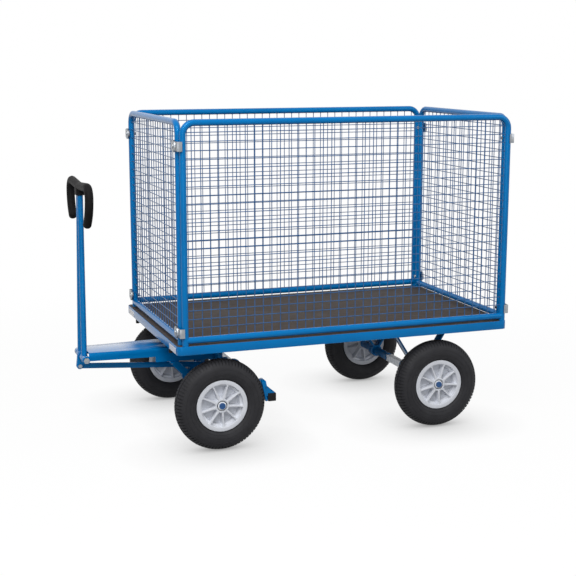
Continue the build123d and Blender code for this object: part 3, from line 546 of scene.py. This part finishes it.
def carcass(bm):
    # Bead, groove beside the rim, bulging sidewall, shoulder and tread base, then the other side
    t = tyre
    baseRadius = t["crownRadius"] - t["treadDepth"]
    edgeAngle = radians(t["shoulderAngle"])
    low = radians(t["lowerTurn"])
    seats = []
    for side in (1, -1):
        seat = sectionVert(bm, side * t["bead"][0], t["seat"])
        bead = sectionVert(bm, side * t["bead"][0], t["bead"][1])
        groove = sectionVert(bm, side * t["groove"][0], t["groove"][1])
        lowerCentre = sidewallCentre(side, t["lowerRadius"])
        wall = sectionVert(bm, *arcPoint(lowerCentre, t["lowerRadius"], -low, side))
        joinVerts(bm, seat, bead, groove, wall)
        belly = arcFrom(bm, wall, lowerCentre, side * low, t["lowerSteps"])
        upperCentre = sidewallCentre(side, t["upperRadius"])
        shoulder = arcFrom(bm, belly, upperCentre, side * radians(t["upperTurn"]), t["upperSteps"])
        base = sectionVert(bm, *arcPoint(t["crownCentre"], baseRadius, edgeAngle, side))
        joinVerts(bm, shoulder, base)
        arcFrom(bm, base, t["crownCentre"], side * (pi / 2 - edgeAngle), t["crownSteps"])
        seats.append(seat)
    joinVerts(bm, *seats)
    bmesh.ops.remove_doubles(bm, verts=bm.verts, dist=weldDistance)
    spinRound(bm, list(bm.edges), t["steps"])


def treadBlock(bm, before, phase):
    # The section drawn since before becomes one block, copied round the tyre
    t = tyre
    section = newVerts(bm, before)
    face = bmesh.ops.contextual_create(bm, geom=section + edgesOf(section))["faces"][0]
    pitch = 2 * pi / t["lugs"]
    bmesh.ops.transform(bm, matrix=Matrix.Rotation(phase * pitch, 4, "Y"), verts=face.verts)
    others = set(bm.verts) - set(face.verts)
    bmesh.ops.spin(bm, geom=list(face.verts) + list(face.edges) + [face], cent=(0, 0, 0), axis=(0, 1, 0),
                   angle=pitch * t["lugShare"], steps=2)
    block = newVerts(bm, others)
    faces = list({f for v in block for f in v.link_faces})
    bmesh.ops.spin(bm, geom=block + edgesOf(block) + faces, cent=(0, 0, 0), axis=(0, 1, 0),
                   angle=2 * pi - pitch, steps=t["lugs"] - 1, use_duplicate=True)


def shoulderLugs(bm, side):
    t = tyre
    before = set(bm.verts)
    upperCentre = sidewallCentre(side, t["upperRadius"])
    foot = sectionVert(bm, *arcPoint(upperCentre, t["upperRadius"], radians(t["lugLow"]), side))
    shoulder = arcFrom(bm, foot, upperCentre, side * radians(t["lugHigh"] - t["lugLow"]), t["lugSteps"])
    inward = side * radians(t["lugInner"] - t["shoulderAngle"])
    inner = arcFrom(bm, shoulder, t["crownCentre"], inward, t["lugSteps"])
    rootRadius = t["crownRadius"] - t["treadDepth"] - t["lugSink"]
    root = sectionVert(bm, *arcPoint(t["crownCentre"], rootRadius, radians(t["lugInner"]), side))
    heel = sectionVert(bm, foot.co.y - side * t["heelIn"], foot.co.z + t["heelUp"])
    joinVerts(bm, inner, root, heel, foot)
    treadBlock(bm, before, t["lugPhase"][side])


def centreBlocks(bm):
    t = tyre
    before = set(bm.verts)
    half = radians(t["centreHalf"])
    left = sectionVert(bm, *arcPoint(t["crownCentre"], t["crownRadius"], half, 1))
    right = arcFrom(bm, left, t["crownCentre"], pi - 2 * half, t["lugSteps"])
    rootRadius = t["crownRadius"] - t["treadDepth"] - t["lugSink"]
    leftRoot, rightRoot = (sectionVert(bm, *arcPoint(t["crownCentre"], rootRadius, half, s)) for s in (1, -1))
    joinVerts(bm, right, rightRoot, leftRoot, left)
    treadBlock(bm, before, t["centrePhase"])


def sidewallRings(bm, side):
    # Fine moulded lines round the sidewall
    t = tyre
    for angle in t["rings"]:
        radius = t["upperRadius"] if angle > 0 else t["lowerRadius"]
        offset, height = arcPoint(sidewallCentre(side, radius), radius, radians(angle), side)
        place = Matrix.Translation((0, offset, height)) @ Matrix.Rotation(pi / 2, 4, "Y")
        ring = bmesh.ops.create_circle(bm, segments=t["ringSides"], radius=t["ringRadius"], matrix=place)
        spinRound(bm, edgesOf(ring["verts"]), t["steps"])


def drawTyre(bm):
    carcass(bm)
    for side in (1, -1):
        sidewallRings(bm, side)
        shoulderLugs(bm, side)
    centreBlocks(bm)


# ribFlank gives a rib's half width at each distance from the axle, both in mm
rim = {"steps": 120, "lip": 113 * mm, "seat": 101 * mm, "half": 38 * mm, "lipThick": 4 * mm, "ring": 95 * mm,
       "step": 84 * mm, "stepDepth": 15 * mm, "floor": 80 * mm, "face": 4 * mm, "hub": 30 * mm, "draft": 2 * mm,
       "mouth": 23 * mm, "mouthDepth": 20 * mm, "bore": 17.6 * mm, "hubBack": 36 * mm, "round": 1.0 * mm,
       "roundSteps": 3, "ribs": 9, "ribTurn": -6, "ribInset": 1.0 * mm, "ribRound": 1.1 * mm, "ribSteps": 2,
       "ribFlank": ((27, 6.6), (33, 5.0), (45, 3.8), (84, 2.8), (89, 3.3), (92, 4.6), (94, 6.6), (95.2, 9.5),
                    (97, 9.5))}


def rimSection(bm):
    # Lip, stepped barrel and disc, the hub with its mouth, back again to the inner lip, and the tyre's seat
    r = rim
    shelf = r["half"] - r["stepDepth"]
    mouthFloor = r["half"] - r["mouthDepth"]
    lipBack = r["half"] - r["lipThick"]
    front = [(r["half"], r["lip"]), (r["half"], r["ring"]), (shelf, r["ring"] - r["draft"]),
             (shelf - r["draft"], r["step"]), (r["face"], r["floor"]), (r["face"], r["hub"] + r["draft"])]
    hub = [(r["half"], r["hub"]), (r["half"], r["mouth"]), (mouthFloor, r["mouth"]), (mouthFloor, r["bore"]),
           (-r["hubBack"], r["bore"]), (-r["hubBack"], r["hub"])]
    back = [(-offset, radius) for offset, radius in reversed(front)]
    seat = [(-lipBack, r["lip"]), (-lipBack, r["seat"]), (lipBack, r["seat"]), (lipBack, r["lip"])]
    face = bm.faces.new([sectionVert(bm, *point) for point in front + hub + back + seat])
    roundOff(bm, list(face.verts), r["round"], "VERTICES", r["roundSteps"])
    bmesh.ops.delete(bm, geom=list(bm.faces), context="FACES_ONLY")
    spinRound(bm, list(bm.edges), r["steps"])


def rimRibs(bm):
    # Ribs through the disc, flared into the hub and the ring, edges rounded
    r = rim
    high = r["half"] - r["ribInset"]
    outline = list(r["ribFlank"]) + [(along, -wide) for along, wide in reversed(r["ribFlank"])]
    for i in range(r["ribs"]):
        before = set(bm.verts)
        face = bm.faces.new([bm.verts.new((along * mm, -high, wide * mm)) for along, wide in outline])
        top = bmesh.ops.extrude_face_region(bm, geom=[face])["geom"]
        bmesh.ops.translate(bm, vec=(0, 2 * high, 0), verts=onlyVerts(top))
        edges = edgesOf(newVerts(bm, before))
        level = [e for e in edges if abs(e.verts[0].co.y - e.verts[1].co.y) < high]
        roundOff(bm, level, r["ribRound"], "EDGES", r["ribSteps"])
        turn = Matrix.Rotation(pi + radians(r["ribTurn"]) + 2 * pi * i / r["ribs"], 4, "Y")
        bmesh.ops.transform(bm, matrix=turn, verts=newVerts(bm, before))


def drawRim(bm):
    rimSection(bm)
    rimRibs(bm)


def wheelPiece(end, side, part, ending, slotName, draw):
    node = f"{end}_{side}_{part}"
    bm = bmesh.new()
    draw(bm)
    closeUp(bm)
    moveAll(bm, middle(node), side == "right")
    addPiece(node + ending, bm, finishes[slotName], f"{end}_{side}_wheel", (node,), wheelSharp)


for end in ("front", "rear"):
    for side in ("left", "right"):
        wheelPiece(end, side, "tyre", "_tread", "tyre", drawTyre)
        wheelPiece(end, side, "rim", "_ribbed", "rim_plastic", drawRim)
print("wheels: 4")


# Drawbar handle: a bent horn grip with soft tips and a collar over the fork

handle = {"grip": 18.5 * mm, "sides": 24, "hubRadius": 150 * mm, "hubSteps": 4, "hornRadius": 46 * mm,
          "hornSteps": 10, "reach": 219 * mm, "drop": 35 * mm, "tailRadius": 153 * mm, "tailTurn": 48.0,
          "tailSteps": 12, "height": 757 * mm, "collarDrop": 38 * mm, "collarWide": 63.4 * mm,
          "collarDeep": 38 * mm, "lean": 0.8, "tip": 11 * mm, "domeSteps": 5, "domeEnd": 0.02,
          "seam": 0.01 * mm, "sharp": 60, "voxel": 1.6 * mm, "soften": 0.5, "softenings": 6}


def followArc(bm, loop, centre, turn, steps):
    verts = list({v for e in loop for v in e.verts})
    spun = bmesh.ops.spin(bm, geom=verts + loop, cent=(0, *centre), axis=(1, 0, 0), angle=turn, steps=steps)
    return onlyEdges(spun["geom_last"])


def domeTip(bm, loop, heading):
    # A soft dome, closed by its last ring
    h = handle
    for i in range(h["domeSteps"]):
        a, b = i * pi / 2 / h["domeSteps"], (i + 1) * pi / 2 / h["domeSteps"]
        dome = bmesh.ops.extrude_edge_only(bm, edges=loop)["geom"]
        ring = onlyVerts(dome)
        centre = sum((v.co for v in ring), Vector()) / len(ring)
        shrink = max(cos(b), h["domeEnd"]) / max(cos(a), h["domeEnd"])
        for v in ring:
            v.co = centre + (v.co - centre) * shrink + heading * h["tip"] * (sin(b) - sin(a))
        ringSet = set(ring)
        loop = [e for e in onlyEdges(dome) if set(e.verts) <= ringSet]
    bmesh.ops.contextual_create(bm, geom=loop)


def handleHalf(bm):
    # Drawn upright in the plane X = 0 with the pivot at the origin, one side only
    h = handle
    acrossHorn = h["reach"] - h["hornRadius"]
    hornHeight = h["height"] - h["drop"]
    rise = h["hubRadius"] + h["drop"]
    span = hypot(acrossHorn, rise)
    slope = atan2(acrossHorn, rise) - acos((h["hubRadius"] + h["hornRadius"]) / span)
    start = Matrix.Translation((0, 0, h["height"])) @ Matrix.Rotation(pi / 2, 4, "X")
    ring = bmesh.ops.create_circle(bm, segments=h["sides"], radius=h["grip"], matrix=start)["verts"]
    loop = followArc(bm, edgesOf(ring), (0, h["height"] + h["hubRadius"]), slope, h["hubSteps"])
    hubEnd = Vector((0, h["hubRadius"] * sin(slope), h["height"] + h["hubRadius"] * (1 - cos(slope))))
    hornStart = Vector((0, acrossHorn - h["hornRadius"] * sin(slope),
                        hornHeight + h["hornRadius"] * cos(slope)))
    arm = bmesh.ops.extrude_edge_only(bm, edges=loop)["geom"]
    bmesh.ops.translate(bm, vec=hornStart - hubEnd, verts=onlyVerts(arm))
    loop = [e for e in onlyEdges(arm)
            if all(abs((v.co - hornStart).length - h["grip"]) < mm for v in e.verts)]
    loop = followArc(bm, loop, (acrossHorn, hornHeight), -pi / 2 - slope, h["hornSteps"])
    tailCentre = Vector((0, h["reach"] - h["tailRadius"], hornHeight))
    loop = followArc(bm, loop, (tailCentre.y, tailCentre.z), -radians(h["tailTurn"]), h["tailSteps"])
    tip = sum((v.co for e in loop for v in e.verts), Vector()) / (2 * len(loop))
    domeTip(bm, loop, (tip - tailCentre).cross(Vector((1, 0, 0))).normalized())


def handleCollar(bm):
    h = handle
    foot = Matrix.Translation((0, 0, h["height"] - h["collarDrop"]))
    ring = bmesh.ops.create_circle(bm, cap_ends=True, segments=h["sides"], radius=h["collarDeep"] / 2,
                                   matrix=foot)
    stretch = (h["collarWide"] - h["collarDeep"]) / 2
    for v in ring["verts"]:
        v.co.y += stretch if v.co.y > 0 else -stretch
    face = ring["verts"][0].link_faces[0]
    top = bmesh.ops.extrude_face_region(bm, geom=[face])["geom"]
    bmesh.ops.translate(bm, vec=(0, 0, h["collarDrop"]), verts=onlyVerts(top))


def makeHandle():
    h = handle
    bm = bmesh.new()
    handleHalf(bm)
    mirrored = bmesh.ops.duplicate(bm, geom=list(bm.verts) + list(bm.edges) + list(bm.faces))["geom"]
    bmesh.ops.scale(bm, vec=(1, -1, 1), verts=onlyVerts(mirrored))
    closeUp(bm, h["seam"])
    handleCollar(bm)
    closeUp(bm)
    lean = Matrix.Translation(middle("drawbar_cross_tube")) @ Matrix.Rotation(-radians(h["lean"]), 4, "Y")
    bmesh.ops.transform(bm, matrix=lean, verts=bm.verts)
    piece = addPiece("handle_horn", bm, finishes["grip_rubber"], "drawbar", ("handle_grip",),
                     h["sharp"])
    skin = piece.modifiers.new("skin", "REMESH")
    skin.mode = "VOXEL"
    skin.voxel_size = h["voxel"]
    skin.use_smooth_shade = True
    soften = piece.modifiers.new("soften", "SMOOTH")
    soften.factor = h["soften"]
    soften.iterations = h["softenings"]


makeHandle()
print("handle: 1")


# Blank plates at both ends of the front rail

plate = {"wide": 104 * mm, "high": 25 * mm, "thick": 1.0 * mm, "across": 388 * mm, "above": 15 * mm,
         "round": 3 * mm, "roundSteps": 4}


def makePlates():
    p = plate
    low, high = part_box("deck_frame")
    bm = bmesh.new()
    for side in (1, -1):
        before = set(bm.verts)
        bmesh.ops.create_cube(bm, size=1)
        corners = newVerts(bm, before)
        bmesh.ops.scale(bm, vec=(p["thick"], p["wide"], p["high"]), verts=corners)
        through = [e for e in edgesOf(corners) if abs(e.verts[0].co.x - e.verts[1].co.x) > p["thick"] / 2]
        roundOff(bm, through, p["round"], "EDGES", p["roundSteps"])
        place = (high.x + p["thick"] / 2, side * p["across"], low.z + p["above"])
        bmesh.ops.translate(bm, vec=place, verts=newVerts(bm, before))
    addPiece("blank_plates", bm, finishes["plate"], "chassis")


makePlates()
print("plates: 2")


# Floor, light and camera

# the two contact values set the painted shadow on the floor: its glow where fully hidden, and how far it
# reaches
stage = {"size": 30.0, "floorSeen": 0.88, "floorBounce": 0.14, "floorRoughness": 0.9, "floorSpecular": 0.1,
         "glow": 0.95, "paintedShadowGlow": 0.3, "paintedShadowReach": 0.3, "fadeStart": 1.4, "fadeEnd": 3.6,
         "world": 0.45, "backdrop": 1.0}
lamps = {
    "key": {"place": (2.2, 3.4, 4.6), "target": (0, 0, 0.7), "size": 3.2, "power": 245},
    "fill": {"place": (-3.6, 3.0, 2.6), "target": (0, 0, 0.6), "size": 2.6, "power": 42},
    "front": {"place": (1.6, 4.6, 0.9), "target": (0, 0, 0.4), "size": 2.4, "power": 30},
}
photoCamera = {"place": (1.8711, 5.2733, 1.6705), "yaw": -109.981, "pitch": 10.801, "roll": 0.049,
               "focalPixels": 1218.0, "imagePixels": 576, "sensor": 36.0}


def seenRays(tree):
    # 1 for what the camera sees, straight, mirrored or through something clear
    rays = tree.nodes.new("ShaderNodeLightPath")
    seen = rays.outputs["Is Camera Ray"]
    for kind in ("Is Glossy Ray", "Is Transmission Ray"):
        seen = combine(tree, "MAXIMUM", seen, rays.outputs[kind])
    return seen


def floorFade(tree):
    # Away from the cart the floor runs out into the white backdrop
    place = tree.nodes.new("ShaderNodeTexCoord")
    distance = tree.nodes.new("ShaderNodeVectorMath")
    distance.operation = "LENGTH"
    tree.links.new(place.outputs["Object"], distance.inputs[0])
    fade = tree.nodes.new("ShaderNodeMapRange")
    fade.interpolation_type = "SMOOTHSTEP"
    fade.inputs["From Min"].default_value = stage["fadeStart"]
    fade.inputs["From Max"].default_value = stage["fadeEnd"]
    fade.inputs["To Min"].default_value = stage["glow"]
    tree.links.new(distance.outputs["Value"], fade.inputs["Value"])
    return fade.outputs["Result"]


def floorPaint():
    # Pale paint that glows white to the camera and bounces less light than it shows
    material, tree, shader = newFinish("floorPaint", specular=stage["floorSpecular"],
                                       roughness=stage["floorRoughness"])
    seen = seenRays(tree)
    shades = [(i, (stage[k],) * 3 + (1,)) for i, k in enumerate(("floorBounce", "floorSeen"))]
    tree.links.new(rampColour(tree, seen, shades), shader.inputs["Base Color"])
    # painted shadow: close under the tyres the glow drops with ambient occlusion, so that they stand on the
    # floor
    white = tree.nodes.new("ShaderNodeEmission")
    paintedShadowAO = tree.nodes.new("ShaderNodeAmbientOcclusion")
    paintedShadowAO.inputs["Distance"].default_value = stage["paintedShadowReach"]
    tree.links.new(spread(tree, paintedShadowAO.outputs["AO"], stage["paintedShadowGlow"], 1.0), white.inputs["Strength"])
    mix = tree.nodes.new("ShaderNodeMixShader")
    tree.links.new(combine(tree, "MULTIPLY", floorFade(tree), seen), mix.inputs["Fac"])
    tree.links.new(shader.outputs["BSDF"], mix.inputs[1])
    tree.links.new(white.outputs["Emission"], mix.inputs[2])
    tree.links.new(mix.outputs["Shader"], tree.nodes["Material Output"].inputs["Surface"])
    return material


def addFloor():
    bm = bmesh.new()
    bmesh.ops.create_grid(bm, x_segments=2, y_segments=2, size=stage["size"])
    mesh = bpy.data.meshes.new("floor")
    bm.to_mesh(mesh)
    bm.free()
    mesh.materials.append(floorPaint())
    floor = bpy.data.objects.new("floor", mesh)
    bpy.context.scene.collection.objects.link(floor)


def addWorld():
    world = bpy.data.worlds.new("studio")
    bpy.context.scene.world = world
    world.use_nodes = True
    tree = world.node_tree
    light = tree.nodes["Background"]
    backdrop = tree.nodes.new("ShaderNodeBackground")
    for sky, strength in ((light, stage["world"]), (backdrop, stage["backdrop"])):
        sky.inputs["Color"].default_value = (1, 1, 1, 1)
        sky.inputs["Strength"].default_value = strength
    mix = tree.nodes.new("ShaderNodeMixShader")
    tree.links.new(seenRays(tree), mix.inputs["Fac"])
    tree.links.new(light.outputs["Background"], mix.inputs[1])
    tree.links.new(backdrop.outputs["Background"], mix.inputs[2])
    tree.links.new(mix.outputs["Shader"], tree.nodes["World Output"].inputs["Surface"])


def addLamp(name, place, target, size, power):
    data = bpy.data.lights.new(name, "AREA")
    data.shape = "SQUARE"
    data.size = size
    data.energy = power
    lamp = bpy.data.objects.new(name, data)
    lamp.location = place
    lamp.rotation_euler = (Vector(target) - Vector(place)).to_track_quat("-Z", "Y").to_euler()
    bpy.context.scene.collection.objects.link(lamp)


def addCamera():
    c = photoCamera
    yaw, pitch, roll = (radians(c[k]) for k in ("yaw", "pitch", "roll"))
    ahead = Vector((cos(yaw) * cos(pitch), sin(yaw) * cos(pitch), -sin(pitch)))
    right = ahead.cross(Vector((0, 0, 1))).normalized()
    up = right.cross(ahead)
    turn = Matrix((right * cos(roll) + up * sin(roll), up * cos(roll) - right * sin(roll), -ahead)).transposed()
    data = bpy.data.cameras.new("photoCamera")
    data.sensor_width = c["sensor"]
    data.lens = c["focalPixels"] / c["imagePixels"] * c["sensor"]
    camera = bpy.data.objects.new("photoCamera", data)
    camera.matrix_world = Matrix.Translation(c["place"]) @ turn.to_4x4()
    bpy.context.scene.collection.objects.link(camera)
    bpy.context.scene.camera = camera


addFloor()
addWorld()
for name, lamp in lamps.items():
    addLamp(name, **lamp)
addCamera()
bpy.context.scene.view_settings.view_transform = "Standard"
print("stage set")

bpy.context.view_layer.update()
